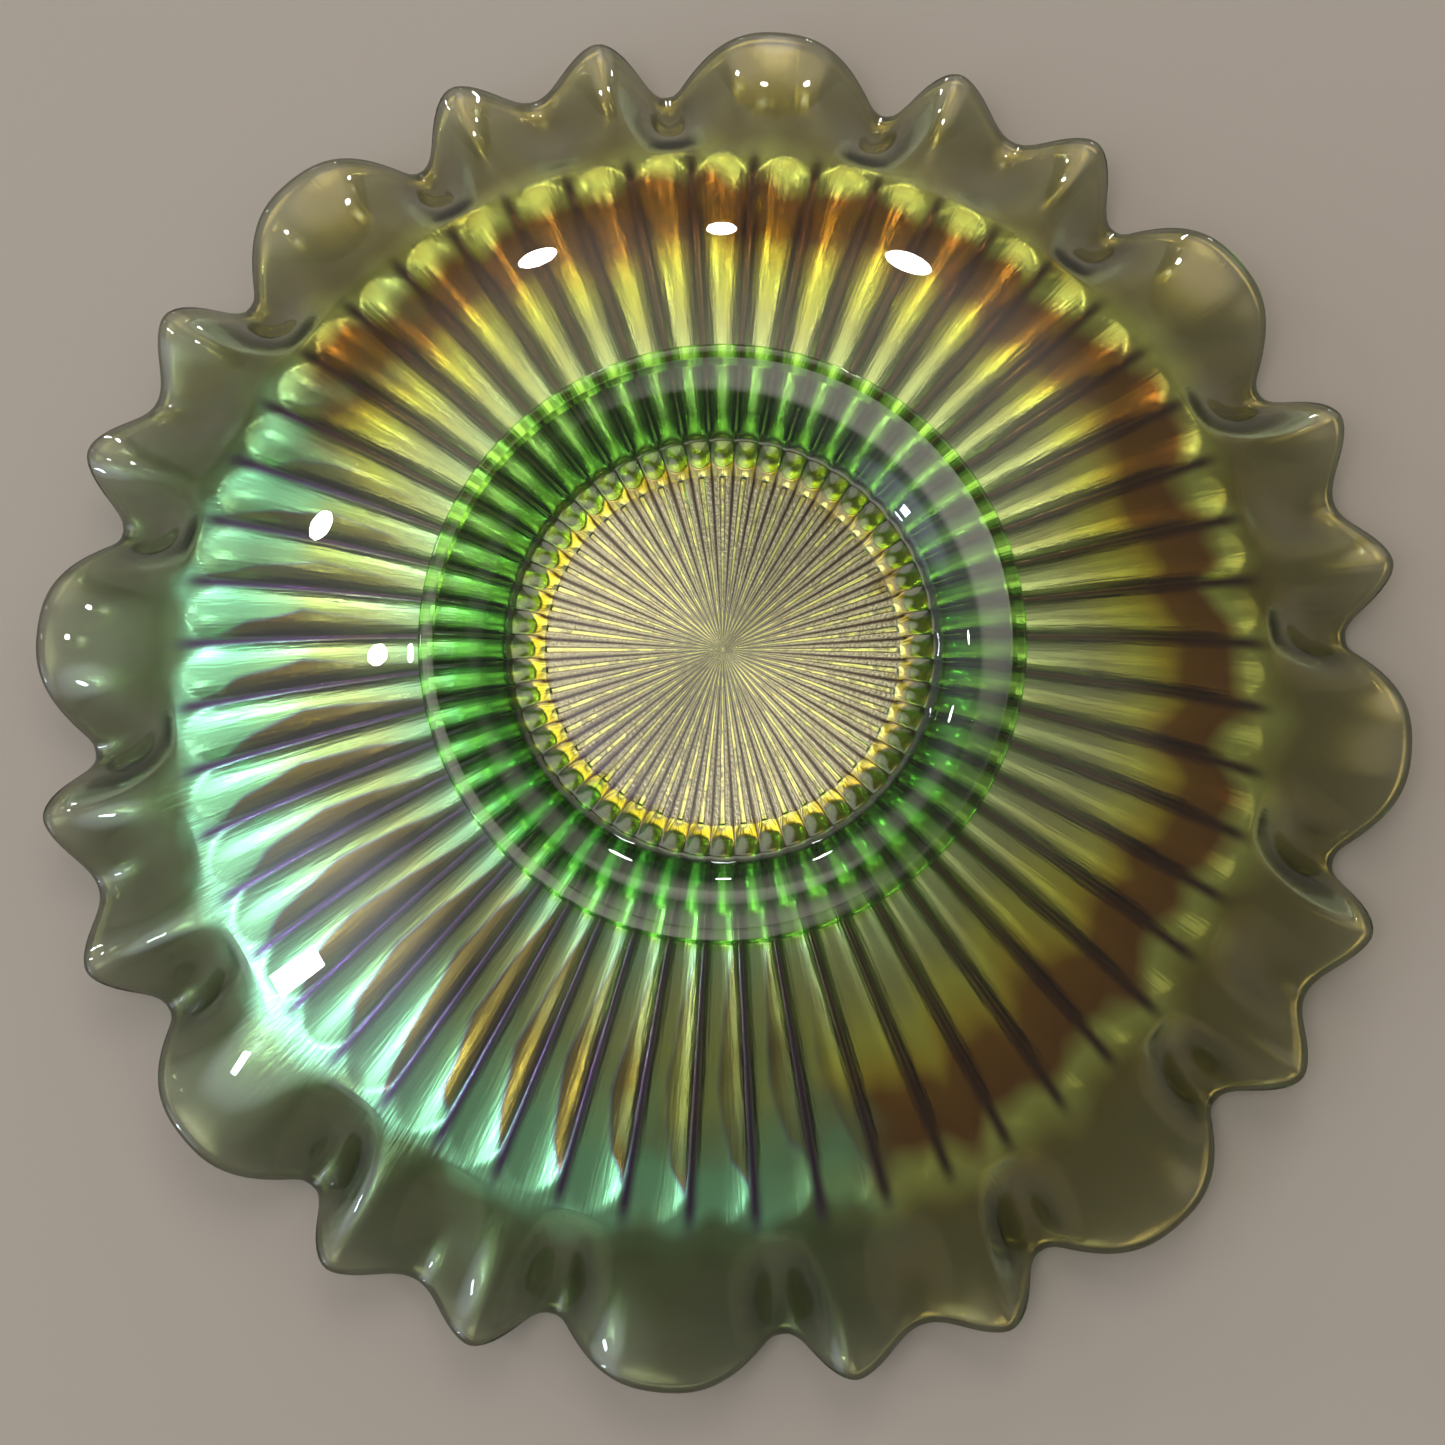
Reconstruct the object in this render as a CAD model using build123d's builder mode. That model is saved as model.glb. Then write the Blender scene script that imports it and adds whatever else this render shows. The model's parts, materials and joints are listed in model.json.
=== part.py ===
"""Pressed glass bowl with a ruffled rim, standing mouth down on its rim, in millimetres.

+Z runs from the plane that the rim stands on up to the foot, and Z is the axis of the bowl.
The outside is smooth. The inside carries 52 raised rays on the wall and a star of 52 ridges on
the floor. Eight crimped units, each of one wide lobe between two narrow ones, make the rim. A
collar foot stands round a base plate that lies deeper, and a cove leads down to it.
"""

import os
from math import atan2, cos, degrees, pi, radians, sin

from build123d import *

# Driving dimensions of the whole bowl.
HEIGHT = 58.0  # from the plane that the rim stands on to the foot's standing face
RAY_COUNT = 52
UNIT_COUNT = 8  # crimped units round the rim
UNIT_ANGLE = 360 / UNIT_COUNT
UNIT_TURN = 40.0  # azimuth of a wide lobe's middle

# Collar foot and the base plate recessed inside it.
FOOT_R = 45.8
FOOT_CREST_R = 43.4  # the flat ring that the bowl stands on in use begins here
FOOT_INNER_R = 41.0  # and the cove begins here
COVE_RISE = 5.3  # the cove's height over the base plate
FOOT_ROOT_R = 44.5
FOOT_ROOT_Z = HEIGHT - 10.0
FOOT_EDGE_R = 0.5  # rounding of the standing ring's two edges
PLATE_R = 32.3
PLATE_Z = HEIGHT - 6.0
PLATE_THICKNESS = 5.0
FLOOR_Z = PLATE_Z - PLATE_THICKNESS

# Wall: an arc of revolution from the foot's root to where the rays end.
WALL = 4.0
WALL_END = Vector(89.5, 24.1)
WALL_TURN = 18.0  # degrees that the wall's arc turns through

# Rays: long low ridges on the inside.
RAY_HEIGHT = 1.3
RAY_SHARE = 0.92  # of the pitch; the rest is the groove between rays
RAY_ROOT = 0.5  # how far a ray's blank starts inside the wall before it is trimmed to it
RAY_START_R = 29.0
RAY_STATIONS = 9
RAY_STOP = 1.0  # from the outer end of the rays to the wall's end
RAY_TIP = 2.4  # length of the rounded outer end
RAY_TIP_SHARE = 0.55  # of the ray's width and height that is left at the very end

# Star: ridges pressed on the floor, inside the bowl.
STAR_R = 27.3
STAR_HUB_R = 1.2
STAR_HEIGHT = 0.5
STAR_SHARE = 0.5  # of the pitch

# Ruffled rim: the outside's Bezier poles at a lobe and in a valley.
RIM_WALL = 3.2
LOBE_LEAD = 7.0  # how far the first pole follows the wall's own line
LOBE_POLES = (Vector(103.4, 12.9), Vector(113.4, 11.2))
VALLEY_LEAD = 5.0
VALLEY_POLES = (Vector(96.7, 6.0231), Vector(105.0, 3.1731))
VALLEY_ANGLE = 10.7  # from the wide lobe's middle to the valley beside it
NARROW_ANGLE = 15.6  # to the narrow lobe's middle
WIDE_FLATNESS = 1.4  # above 1 the wide lobe's crown is flatter than a cosine
MID_SHARE = 0.20  # how far the valley between two narrow lobes rises towards a lobe
LOBE_FULLNESS = 0.55  # under 1 makes the lobes full and the valleys narrow
SOFTENING = 1.5  # degrees to each side that the ruffle is evened over
STEPS_PER_FLANK = 4  # sections from one extreme of the ruffle to the next


def at_angle(centre, radius, angle):
    """The point of a circle in the profile plane, its angle counted from the radius."""
    return centre + Vector(radius * cos(radians(angle)), radius * sin(radians(angle)))


# The outer arc's middle lies below its chord, towards the axis.
foot_root = Vector(FOOT_ROOT_R, FOOT_ROOT_Z)
chord = WALL_END - foot_root
OUTER_ARC_R = chord.length / 2 / sin(radians(WALL_TURN / 2))
chord_angle = degrees(atan2(chord.Y, chord.X))
START_ANGLE = chord_angle + 90 + WALL_TURN / 2
END_ANGLE = START_ANGLE - WALL_TURN
ARC_CENTRE = at_angle(WALL_END, -OUTER_ARC_R, END_ANGLE)
INNER_ARC_R = OUTER_ARC_R - WALL
INNER_END = at_angle(ARC_CENTRE, INNER_ARC_R, END_ANGLE)

# The floor's bend is the arc that touches both the flat floor and the inner arc.
floor_reach = Vector(PLATE_R, FLOOR_Z) - ARC_CENTRE
BEND_R = (floor_reach.length**2 - INNER_ARC_R**2) / (2 * (floor_reach.Y - INNER_ARC_R))
BEND_CENTRE = Vector(PLATE_R, FLOOR_Z - BEND_R)
bend_way = BEND_CENTRE - ARC_CENTRE
BEND_ANGLE = degrees(atan2(bend_way.Y, bend_way.X))


with BuildPart() as base_plate:
    with BuildSketch(Plane.XZ):
        with Locations((0, FLOOR_Z)):
            Rectangle(PLATE_R, PLATE_THICKNESS, align=(Align.MIN, Align.MIN))
    revolve(axis=Axis.Z)

with BuildPart() as foot_collar:
    with BuildSketch(Plane.XZ) as foot_profile:
        with BuildLine():
            cove_top = (FOOT_INNER_R, PLATE_Z + COVE_RISE)
            cove_pole = ((PLATE_R + FOOT_INNER_R) / 2, PLATE_Z + COVE_RISE)
            Bezier((PLATE_R, PLATE_Z), cove_pole, cove_top)
            Polyline(
                cove_top,
                (FOOT_CREST_R, HEIGHT),
                (FOOT_R, HEIGHT),
                (FOOT_ROOT_R, FOOT_ROOT_Z),
                (PLATE_R, PLATE_Z),
            )
        make_face()
        fillet(foot_profile.vertices().group_by(Axis.Z)[-1], radius=FOOT_EDGE_R)
    revolve(axis=Axis.Z)

with BuildPart() as bowl_wall:
    with BuildSketch(Plane.XZ):
        with BuildLine():
            CenterArc(ARC_CENTRE, OUTER_ARC_R, START_ANGLE, -WALL_TURN)
            Line(WALL_END, INNER_END)
            CenterArc(ARC_CENTRE, INNER_ARC_R, END_ANGLE, BEND_ANGLE - END_ANGLE)
            CenterArc(BEND_CENTRE, BEND_R, BEND_ANGLE, 90 - BEND_ANGLE)
            Line((PLATE_R, FLOOR_Z), (PLATE_R, PLATE_Z))
            Line((PLATE_R, PLATE_Z), foot_root)
        make_face()
    revolve(axis=Axis.Z)


def ray_section(station, travel, share):
    """One section of a ray's blank, across its run, at that share of its full size."""
    width = RAY_SHARE * 2 * pi * station.X / RAY_COUNT * share
    across = Plane(
        origin=(station.X, 0, station.Y), x_dir=(0, 1, 0), z_dir=(travel.X, 0, travel.Y)
    )
    with BuildSketch(across) as section:
        with BuildLine():
            ThreePointArc((-width / 2, RAY_ROOT), (0, -RAY_HEIGHT * share), (width / 2, RAY_ROOT))
            Line((width / 2, RAY_ROOT), (-width / 2, RAY_ROOT))
        make_face()
    return section.sketch


# The line that the rays follow: flat floor, bend and inner arc.
ray_line = Wire(
    [
        Line((RAY_START_R, FLOOR_Z), (PLATE_R, FLOOR_Z)),
        CenterArc(BEND_CENTRE, BEND_R, 90, BEND_ANGLE - 90),
        CenterArc(ARC_CENTRE, INNER_ARC_R, BEND_ANGLE, END_ANGLE - BEND_ANGLE),
    ]
)
ray_end = 1 - RAY_STOP / ray_line.length
tip_start = ray_end - RAY_TIP / ray_line.length

with BuildPart() as one_ray:
    runs = [tip_start * step / (RAY_STATIONS - 1) for step in range(RAY_STATIONS)]
    ray_sections = [ray_section(ray_line @ run, ray_line % run, 1) for run in runs]
    ray_sections.append(ray_section(ray_line @ ray_end, ray_line % ray_end, RAY_TIP_SHARE))
    loft(ray_sections)
    add(bowl_wall.part, mode=Mode.SUBTRACT)
    add(base_plate.part, mode=Mode.SUBTRACT)

with BuildPart() as inner_rays:
    with PolarLocations(0, RAY_COUNT):
        add(one_ray.part)

with BuildSketch() as star_ray:
    with BuildLine():
        half_angle = 180 / RAY_COUNT * STAR_SHARE
        hub = Vector(0, 0)
        Polyline(
            at_angle(hub, STAR_HUB_R, -half_angle),
            at_angle(hub, STAR_R, -half_angle),
            at_angle(hub, STAR_R, half_angle),
            at_angle(hub, STAR_HUB_R, half_angle),
            close=True,
        )
    make_face()

with BuildPart() as base_star:
    with BuildSketch(Plane.XY.offset(FLOOR_Z)):
        with PolarLocations(0, RAY_COUNT):
            add(star_ray.sketch)
    extrude(amount=-STAR_HEIGHT)


def sharp_share(angle):
    """How much of a lobe the rim is there, before it is evened, by cosines between extremes.

    The angle runs from the wide lobe's middle, and the ruffle repeats in every unit.
    """
    turn = abs((angle + UNIT_ANGLE / 2) % UNIT_ANGLE - UNIT_ANGLE / 2)
    if turn <= VALLEY_ANGLE:
        share = (1 + cos(pi * (turn / VALLEY_ANGLE) ** WIDE_FLATNESS)) / 2
    elif turn <= NARROW_ANGLE:
        share = (1 - cos(pi * (turn - VALLEY_ANGLE) / (NARROW_ANGLE - VALLEY_ANGLE))) / 2
    else:
        fall = (turn - NARROW_ANGLE) / (UNIT_ANGLE / 2 - NARROW_ANGLE)
        share = 1 - (1 - MID_SHARE) * (1 - cos(pi * fall)) / 2
    return share**LOBE_FULLNESS


def evened_share(angle):
    """The mean of the sharp share at seven angles, up to the softening to each side."""
    return sum(sharp_share(angle + SOFTENING * step / 3) for step in range(-3, 4)) / 7


def lobe_share(angle):
    """How much of a lobe the rim is there: 1 on a wide lobe, 0 in a deep valley."""
    lowest, highest = evened_share(VALLEY_ANGLE), evened_share(0)
    return (evened_share(angle) - lowest) / (highest - lowest)


def rim_section(angle):
    """The rim's closed section in the plane through the axis at that angle."""
    share = lobe_share(angle)
    wall_way = at_angle(Vector(0, 0), 1, END_ANGLE - 90)
    lead = VALLEY_LEAD + (LOBE_LEAD - VALLEY_LEAD) * share
    turn_pole, edge = (
        valley + (lobe - valley) * share for valley, lobe in zip(VALLEY_POLES, LOBE_POLES)
    )
    edge_way = (edge - turn_pole).normalized()
    to_inside = Vector(edge_way.Y, -edge_way.X) * RIM_WALL
    lead_inside = at_angle(Vector(0, 0), -RIM_WALL, END_ANGLE)
    inner_edge = edge + to_inside
    azimuth = radians(angle)
    through_axis = Plane(
        origin=(0, 0, 0),
        x_dir=(cos(azimuth), sin(azimuth), 0),
        z_dir=(sin(azimuth), -cos(azimuth), 0),
    )
    with BuildSketch(through_axis) as section:
        with BuildLine():
            Bezier(WALL_END, WALL_END + wall_way * lead, turn_pole, edge)
            ThreePointArc(edge, (edge + inner_edge) / 2 + edge_way * (RIM_WALL / 2), inner_edge)
            Bezier(
                inner_edge,
                turn_pole + to_inside,
                WALL_END + wall_way * lead + lead_inside,
                INNER_END,
            )
            Line(INNER_END, WALL_END)
        make_face()
    return section.sketch


flank_ends = (0, VALLEY_ANGLE, NARROW_ANGLE, UNIT_ANGLE / 2)
half_unit = [
    start + (end - start) * step / STEPS_PER_FLANK
    for start, end in zip(flank_ends, flank_ends[1:])
    for step in range(1, STEPS_PER_FLANK + 1)
]

with BuildPart() as rim_unit:
    mirrored_half = [-angle for angle in reversed(half_unit)]
    loft([rim_section(angle) for angle in mirrored_half + [0] + half_unit])

with BuildPart() as ruffled_rim:
    with PolarLocations(0, UNIT_COUNT, start_angle=UNIT_TURN):
        add(rim_unit.part)

os.makedirs("parts", exist_ok=True)
for name, piece in {
    "foot_collar": foot_collar,
    "base_plate": base_plate,
    "base_star": base_star,
    "bowl_wall": bowl_wall,
    "inner_rays": inner_rays,
    "ruffled_rim": ruffled_rim,
}.items():
    piece.part.label = name
    export_step(piece.part, f"parts/{name}.step")
    box = piece.part.bounding_box()
    print(name, len(piece.part.solids()), "solids,", round(piece.part.volume), "mm3, box", box)
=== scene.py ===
"""Pressed green glass bowl with an iridescent lustre, lying mouth down on a pale table.

The bowl is one continuous body of glass. Its sizes are in millimetres and its meshes in metres,
with Z up along the bowl's axis, from the rim that it lies on to the foot.
"""

import json
import logging
from dataclasses import dataclass, field
from enum import Enum
from typing import Any

import bpy
import numpy as np
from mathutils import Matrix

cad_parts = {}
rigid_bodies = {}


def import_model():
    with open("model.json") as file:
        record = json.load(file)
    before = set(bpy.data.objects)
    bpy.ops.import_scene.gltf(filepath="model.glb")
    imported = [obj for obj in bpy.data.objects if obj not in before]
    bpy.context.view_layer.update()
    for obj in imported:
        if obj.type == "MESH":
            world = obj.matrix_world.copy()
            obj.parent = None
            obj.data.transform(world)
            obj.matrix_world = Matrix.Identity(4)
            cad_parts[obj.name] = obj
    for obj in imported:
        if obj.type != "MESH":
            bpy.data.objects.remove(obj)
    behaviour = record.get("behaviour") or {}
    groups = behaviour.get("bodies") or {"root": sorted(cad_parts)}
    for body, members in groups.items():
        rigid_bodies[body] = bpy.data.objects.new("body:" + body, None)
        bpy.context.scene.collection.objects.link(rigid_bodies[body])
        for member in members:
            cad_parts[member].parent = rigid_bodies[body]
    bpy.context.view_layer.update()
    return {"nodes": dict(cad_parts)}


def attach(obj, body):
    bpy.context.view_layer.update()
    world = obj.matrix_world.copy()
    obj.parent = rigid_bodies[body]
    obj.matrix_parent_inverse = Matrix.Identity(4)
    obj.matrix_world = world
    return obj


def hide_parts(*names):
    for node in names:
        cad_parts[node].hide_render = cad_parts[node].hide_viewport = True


LOG = logging.getLogger("lustre_bowl")
MM = 0.001

Array = np.ndarray
Color = tuple[float, float, float, float]


def linear(hex_colour: str) -> Color:
    """Turns an sRGB hex colour into linear light.

    Args:
        hex_colour: six hex digits, such as "8fae5a".

    Returns:
        Red, green, blue and an alpha of 1.
    """
    shares = [int(hex_colour[at : at + 2], 16) / 255 for at in (0, 2, 4)]
    lit = [s / 12.92 if s <= 0.04045 else ((s + 0.055) / 1.055) ** 2.4 for s in shares]
    return (lit[0], lit[1], lit[2], 1.0)


def add_node(
    tree: bpy.types.NodeTree,
    kind: str,
    settings: dict[str, Any] | None = None,
    sockets: dict[str | int, Any] | None = None,
) -> bpy.types.Node:
    """Adds a node, sets its properties, and sets or links its inputs.

    Args:
        tree: the material's node tree.
        kind: the node's type name.
        settings: property name to value.
        sockets: input name or number to a plain value, or to the output socket linked to it.

    Returns:
        The new node.
    """
    node = tree.nodes.new(kind)
    for name, value in (settings or {}).items():
        setattr(node, name, value)
    for name, value in (sockets or {}).items():
        if isinstance(value, bpy.types.NodeSocket):
            tree.links.new(value, node.inputs[name])
        else:
            node.inputs[name].default_value = value
    return node


def set_stops(ramp: bpy.types.Node, stops: list[tuple[float, Color]]) -> None:
    """Gives a colour ramp its stops.

    Args:
        ramp: the Color Ramp node.
        stops: position from 0 to 1, and linear colour, in order.
    """
    elements = ramp.color_ramp.elements
    while len(elements) < len(stops):
        elements.new(1.0)
    for element, (position, colour) in zip(elements, stops):
        element.position = position
        element.color = colour


def rounded_path(
    corners: list[tuple[float, float, float]], steps: int
) -> list[tuple[float, float]]:
    """Walks straight runs whose corners are arcs that touch both runs.

    An arc of radius R in a corner that turns by the angle T starts R tan(T / 2) before it.

    Args:
        corners: radius and height of each corner, and the radius of its rounding or 0.
        steps: points on each arc, less one.

    Returns:
        Radius and height of each point.
    """
    points: list[tuple[float, float]] = []
    for at, (r, z, rounding) in enumerate(corners):
        if rounding == 0 or at in (0, len(corners) - 1):
            points.append((r, z))
            continue
        here = np.array((r, z))
        back = np.array(corners[at - 1][:2]) - here
        ahead = np.array(corners[at + 1][:2]) - here
        back /= np.linalg.norm(back)
        ahead /= np.linalg.norm(ahead)
        between = np.arccos(np.clip(back @ ahead, -1, 1))
        reach = rounding / np.tan(between / 2)
        middle = (back + ahead) / np.linalg.norm(back + ahead)
        centre = here + middle * rounding / np.sin(between / 2)
        first, last = here + back * reach - centre, here + ahead * reach - centre
        turn = np.arccos(np.clip(first @ last / rounding**2, -1, 1))
        for share in np.linspace(0, 1, steps + 1):
            way = (np.sin((1 - share) * turn) * first + np.sin(share * turn) * last) / np.sin(turn)
            points.append(tuple(centre + way))
    return points


class Side(Enum):
    """The two faces of the glass, as the lustre tells them apart."""

    OUTSIDE = 0.0
    INSIDE = 1.0


@dataclass
class RuffledRim:
    """The crimped rim: eight units, each of one wide lobe between two narrow ones.

    At every angle the outside's section is a cubic Bezier curve from the wall's end to the edge.
    Its last two poles lie between those of a valley and those of a lobe.
    """

    units: int = 8
    unit_turn: float = 40.0
    valley_angle: float = 10.7
    narrow_angle: float = 15.6
    wide_flatness: float = 1.4
    lobe_fullness: float = 0.55
    middle_share: float = 0.20
    lobe_lead: float = 7.0
    valley_lead: float = 5.0
    lobe_poles: tuple[tuple[float, float], ...] = ((103.4, 12.9), (113.4, 11.2))
    valley_poles: tuple[tuple[float, float], ...] = ((96.7, 6.023), (105.0, 3.173))
    edge_wall: float = 3.2
    softening: float = 1.5
    rows: int = 22
    bead_rows: int = 9

    def lobe_share(self, angles: Array) -> Array:
        """How much of a lobe the rim is: 1 on a wide lobe and 0 in a deep valley.

        The sharp share is evened, and then set to run from 0 to 1.

        Args:
            angles: azimuths in degrees.

        Returns:
            The share at each azimuth.
        """
        extremes = self.unit_turn + np.array((self.valley_angle, 0.0))
        lowest, highest = self.evened_share(extremes)
        return np.clip((self.evened_share(angles) - lowest) / (highest - lowest), 0, 1)

    def evened_share(self, angles: Array) -> Array:
        """The mean of the sharp share at seven angles, up to the softening to each side."""
        nearby = np.linspace(-self.softening, self.softening, 7)
        return self.sharp_share(angles[:, None] + nearby).mean(axis=1)

    def sharp_share(self, angles: Array) -> Array:
        """The share of a lobe before it is softened.

        Half cosines join one extreme to the next, and a power under 1 makes the lobes full and
        the valleys narrow.

        Args:
            angles: azimuths in degrees.

        Returns:
            The share at each azimuth.
        """
        span = 360.0 / self.units
        turn = np.abs((angles - self.unit_turn + span / 2) % span - span / 2)
        down = np.clip(turn / self.valley_angle, 0, 1) ** self.wide_flatness
        wide = (1 + np.cos(np.pi * down)) / 2
        climb = np.clip(
            (turn - self.valley_angle) / (self.narrow_angle - self.valley_angle), 0, 1
        )
        narrow = (1 - np.cos(np.pi * climb)) / 2
        fall = np.clip((turn - self.narrow_angle) / (span / 2 - self.narrow_angle), 0, 1)
        middle = 1 - (1 - self.middle_share) * (1 - np.cos(np.pi * fall)) / 2
        share = np.where(turn <= self.valley_angle, wide, np.minimum(narrow, middle))
        return np.where(turn > self.narrow_angle, middle, share) ** self.lobe_fullness

    def outside(self, angles: Array, wall_end: Array, wall_way: Array) -> Array:
        """Sections of the outside, from just past the wall's end to the edge.

        Args:
            angles: azimuths in degrees.
            wall_end: radius and height where the wall ends.
            wall_way: unit direction of the wall there.

        Returns:
            Rows by columns by (x, y, z).
        """
        share = self.lobe_share(angles)[:, None]
        lead = self.valley_lead + (self.lobe_lead - self.valley_lead) * share
        turn_pole, edge = (
            np.array(valley) + (np.array(lobe) - np.array(valley)) * share
            for valley, lobe in zip(self.valley_poles, self.lobe_poles)
        )
        first = wall_end + wall_way * lead
        run = (np.arange(1, self.rows + 1) / self.rows)[:, None, None]
        section = (
            (1 - run) ** 3 * wall_end
            + 3 * (1 - run) ** 2 * run * first
            + 3 * (1 - run) * run**2 * turn_pole
            + run**3 * edge
        )
        azimuth = np.radians(angles)
        return np.stack(
            (
                section[..., 0] * np.cos(azimuth),
                section[..., 0] * np.sin(azimuth),
                section[..., 1],
            ),
            axis=-1,
        )


@dataclass
class PressedBowl:
    """The whole glass: foot, base plate with its star, wall, inner rays and ruffled rim.

    The skin is one grid of rings by columns. It runs from the middle of the base plate's outside
    over the foot, the wall and the rim's edge, and back along the inside to the floor's middle.
    """

    height: float = 58.0
    ray_count: int = 52
    columns_per_ray: int = 12
    foot_radius: float = 45.8
    foot_inner_radius: float = 41.0
    foot_crest_radius: float = 43.4
    cove_rise: float = 5.3
    foot_root: tuple[float, float] = (44.5, 48.0)
    inner_rounding: float = 0.5
    outer_rounding: float = 0.7
    root_rounding: float = 1.2
    rounding_steps: int = 3
    cove_rows: int = 7
    plate_radius: float = 32.3
    plate_height: float = 52.0
    plate_rings: tuple[float, ...] = (0.5, 6.0, 14.0, 22.0, 26.0)
    bead_height: float = 0.45
    bead_rows: int = 8
    floor_height: float = 47.0
    floor_rings: tuple[float, ...] = (31.4, 30.5, 29.8, 29.3, 29.0, 28.6)
    wall: float = 4.0
    wall_end: tuple[float, float] = (89.5, 24.1)
    wall_turn: float = 18.0
    wall_rows: int = 20
    inner_rows: int = 17
    bend_rows: int = 5
    ray_height: float = 1.0
    ray_fullness: float = 0.9
    ray_start: float = 29.0
    ray_start_tip: float = 3.0
    # A ray's outer tip starts just inside the wall's end, where the rings lie closer together.
    ray_tip: float = 11.0
    ray_inset: float = 0.6
    tip_turn: float = 2.2
    tip_rows: int = 8
    star_radius: float = 27.3
    star_rings: tuple[float, ...] = (
        26.9,
        25.0,
        22.0,
        19.0,
        16.0,
        13.0,
        10.0,
        7.0,
        4.5,
        2.6,
        1.3,
        0.5,
    )
    star_height: float = 0.3
    rim: RuffledRim = field(default_factory=RuffledRim)

    def __post_init__(self) -> None:
        """Works out the wall's arcs: the outside, and the inside on the same centre."""
        root, end = np.array(self.foot_root), np.array(self.wall_end)
        chord = end - root
        half_turn = np.radians(self.wall_turn / 2)
        self.outer_radius = float(np.linalg.norm(chord) / 2 / np.sin(half_turn))
        chord_angle = np.arctan2(chord[1], chord[0])
        self.start_angle = float(chord_angle + np.pi / 2 + half_turn)
        self.end_angle = float(self.start_angle - 2 * half_turn)
        self.centre = end - self.outer_radius * self.way(self.end_angle)
        self.inner_radius = self.outer_radius - self.wall
        reach = np.array((self.plate_radius, self.floor_height)) - self.centre
        self.bend_radius = float(
            (reach @ reach - self.inner_radius**2) / (2 * (reach[1] - self.inner_radius))
        )
        self.bend_centre = np.array((self.plate_radius, self.floor_height - self.bend_radius))
        bend_way = self.bend_centre - self.centre
        self.bend_angle = float(np.arctan2(bend_way[1], bend_way[0]))
        self.star_radii = np.array((self.star_radius, *self.star_rings))
        self.columns = self.ray_count * self.columns_per_ray
        self.angles = np.arange(self.columns) * 360.0 / self.columns

    @staticmethod
    def way(angle: float) -> Array:
        """The unit vector at that angle in the plane of radius and height."""
        return np.array((np.cos(angle), np.sin(angle)))

    def flank(self) -> Array:
        """Where each column is on its ray: -1 and 1 in the grooves, 0 on the crest."""
        turn = self.angles * self.ray_count / 360.0
        return 2 * ((turn + 0.5) % 1.0 - 0.5)

    def across(self) -> Array:
        """How far each column is from a ray's crest: 0 on the crest, 1 in the groove."""
        return np.abs(self.flank())

    def turned(self, profile: Array) -> Array:
        """Carries a profile of radius and height round the axis, to rows by columns by xyz."""
        azimuth = np.radians(self.angles)
        return np.stack(
            (
                profile[:, :1] * np.cos(azimuth),
                profile[:, :1] * np.sin(azimuth),
                np.repeat(profile[:, 1:], self.columns, axis=1),
            ),
            axis=-1,
        )

    def plate(self) -> Array:
        """The base plate's flat outside, and the ring of low beads round it, one to a ray."""
        beads = np.linspace(self.star_radius, self.plate_radius, self.bead_rows + 2)[:-1]
        radii = np.concatenate((self.plate_rings, beads))
        grid = self.turned(np.stack((radii, np.full(radii.size, self.plate_height)), axis=1))
        share = (radii - self.star_radius) / (self.plate_radius - self.star_radius)
        swell = np.sin(np.pi * np.clip(share, 0, 1))
        grid[..., 2] += self.bead_height * swell[:, None] * (1 - self.across() ** 2)
        return grid

    def foot_and_wall(self) -> Array:
        """The recess from the plate's edge up, the collar foot and the wall's outside.

        The recess is a cove: over its width u from 0 to 1 it rises by 1 - (1 - u)^2 of its rise.
        """
        arc = np.linspace(self.start_angle, self.end_angle, self.wall_rows + 1)[2:]
        wall = self.centre + self.outer_radius * np.stack((np.cos(arc), np.sin(arc)), axis=1)
        climb = np.linspace(0, 1, self.cove_rows + 1)[1:]
        cove = np.stack(
            (
                self.plate_radius + (self.foot_inner_radius - self.plate_radius) * climb,
                self.plate_height + self.cove_rise * (1 - (1 - climb) ** 2),
            ),
            axis=1,
        )
        plate_edge = np.array(((self.plate_radius, self.plate_height),))
        foot = rounded_path(
            [
                (cove[-1][0], cove[-1][1], 0),
                (self.foot_crest_radius, self.height, self.inner_rounding),
                (self.foot_radius, self.height, self.outer_rounding),
                (*self.foot_root, self.root_rounding),
                (wall[0][0], wall[0][1], 0),
            ],
            self.rounding_steps,
        )
        return self.turned(np.concatenate((plate_edge, cove, np.array(foot)[1:], wall[1:])))

    def inside(self) -> Array:
        """The inside from the wall's end to the floor's middle, with its raised rays.

        A ray's height over the bare surface is its full height times 1 - across^2 - tip^2 to
        the power of its fullness, where tip grows from 0 to 1 over its rounded ends. A ridge of
        the star is flat on top up to across 1/6, and is level with the floor from 1/3.
        """
        tips_end = self.end_angle + np.radians(self.tip_turn)
        last = np.linspace(self.end_angle, tips_end, self.tip_rows + 1)
        rest = np.linspace(last[-1], self.bend_angle, self.inner_rows + 1)[1:]
        arc = np.concatenate((last, rest))
        wall = self.centre + self.inner_radius * np.stack((np.cos(arc), np.sin(arc)), axis=1)
        bend = np.linspace(self.bend_angle, np.pi / 2, self.bend_rows + 1)[1:]
        curve = self.bend_centre + self.bend_radius * np.stack((np.cos(bend), np.sin(bend)), axis=1)
        floor_radii = np.concatenate((self.floor_rings, self.star_radii))
        floor = np.stack((floor_radii, np.full(floor_radii.size, self.floor_height)), axis=1)
        profile = np.concatenate((wall, curve, floor))
        steps = np.linalg.norm(np.diff(profile, axis=0), axis=1)
        along = np.concatenate(((0.0,), np.cumsum(steps)))
        start = float(np.interp(-self.ray_start, -profile[:, 0], along))
        outer_tip = (self.ray_tip + self.ray_inset - along) / self.ray_tip
        inner_tip = (along - start + self.ray_start_tip) / self.ray_start_tip
        tip = np.clip(np.maximum(outer_tip, inner_tip), 0, 1)
        round_top = np.clip(1 - self.across()[None, :] ** 2 - tip[:, None] ** 2, 0, 1)
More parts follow.
